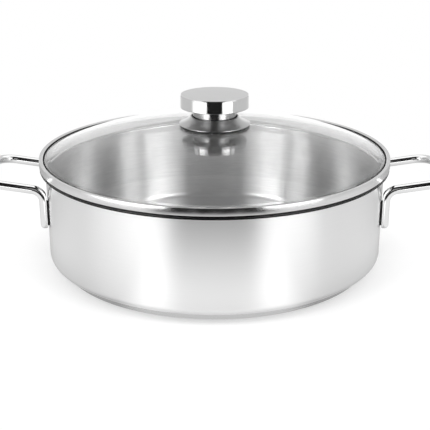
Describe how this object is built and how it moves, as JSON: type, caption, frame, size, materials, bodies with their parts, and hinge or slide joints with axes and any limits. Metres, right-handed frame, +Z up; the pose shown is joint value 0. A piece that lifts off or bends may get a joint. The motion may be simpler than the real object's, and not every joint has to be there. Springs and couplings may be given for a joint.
{
  "type": "casserole pot with lid",
  "caption": "Low round stainless casserole with bent rod side handles, a sandwich base and a domed glass lid in a steel rim with a disc knob; the lid lifts off.",
  "frame": {"origin": "centre of the base's underside, on the pot's axis", "axes": "+Z up along the pot's axis, +X through the right handle, -Y towards the viewer of the picture"},
  "size_m": [0.3894, 0.292, 0.141],
  "materials": {
    "pot_steel": "satin, fine rings of brushing",
    "base_steel": "satin, turned below",
    "core_aluminium": "plain",
    "rod_steel": "polished stainless",
    "weld_metal": "dull",
    "lid_glass": "clear tempered",
    "band_steel": "polished stainless",
    "seal_silicone": "matt silicone",
    "cap_steel": "satin top, polished side",
    "neck_steel": "polished stainless",
    "skirt_steel": "satin, brushed round",
    "gasket_rubber": "matt black",
    "fastener_steel": "plain"
  },
  "bodies": {
    "pot": {"pot_body": "pot_steel", "base_cap": "base_steel", "base_core": "core_aluminium", "handle_left": "rod_steel", "handle_right": "rod_steel", "weld_pad_left_front": "weld_metal", "weld_pad_left_back": "weld_metal", "weld_pad_right_front": "weld_metal", "weld_pad_right_back": "weld_metal"},
    "lid": {"lid_glass": "lid_glass", "lid_rim_band": "band_steel", "lid_rim_seal": "seal_silicone", "knob_cap": "cap_steel", "knob_neck": "neck_steel", "knob_skirt": "skirt_steel", "knob_upper_gasket": "gasket_rubber", "knob_lower_gasket": "gasket_rubber", "knob_washer": "fastener_steel", "knob_screw": "fastener_steel", "knob_insert": "fastener_steel"}
  },
  "joints": [
    {"name": "lid_lift", "type": "slide", "parent": "pot", "child": "lid", "axis": [0, 0, 1], "range_m": [0, 0.15]}
  ]
}
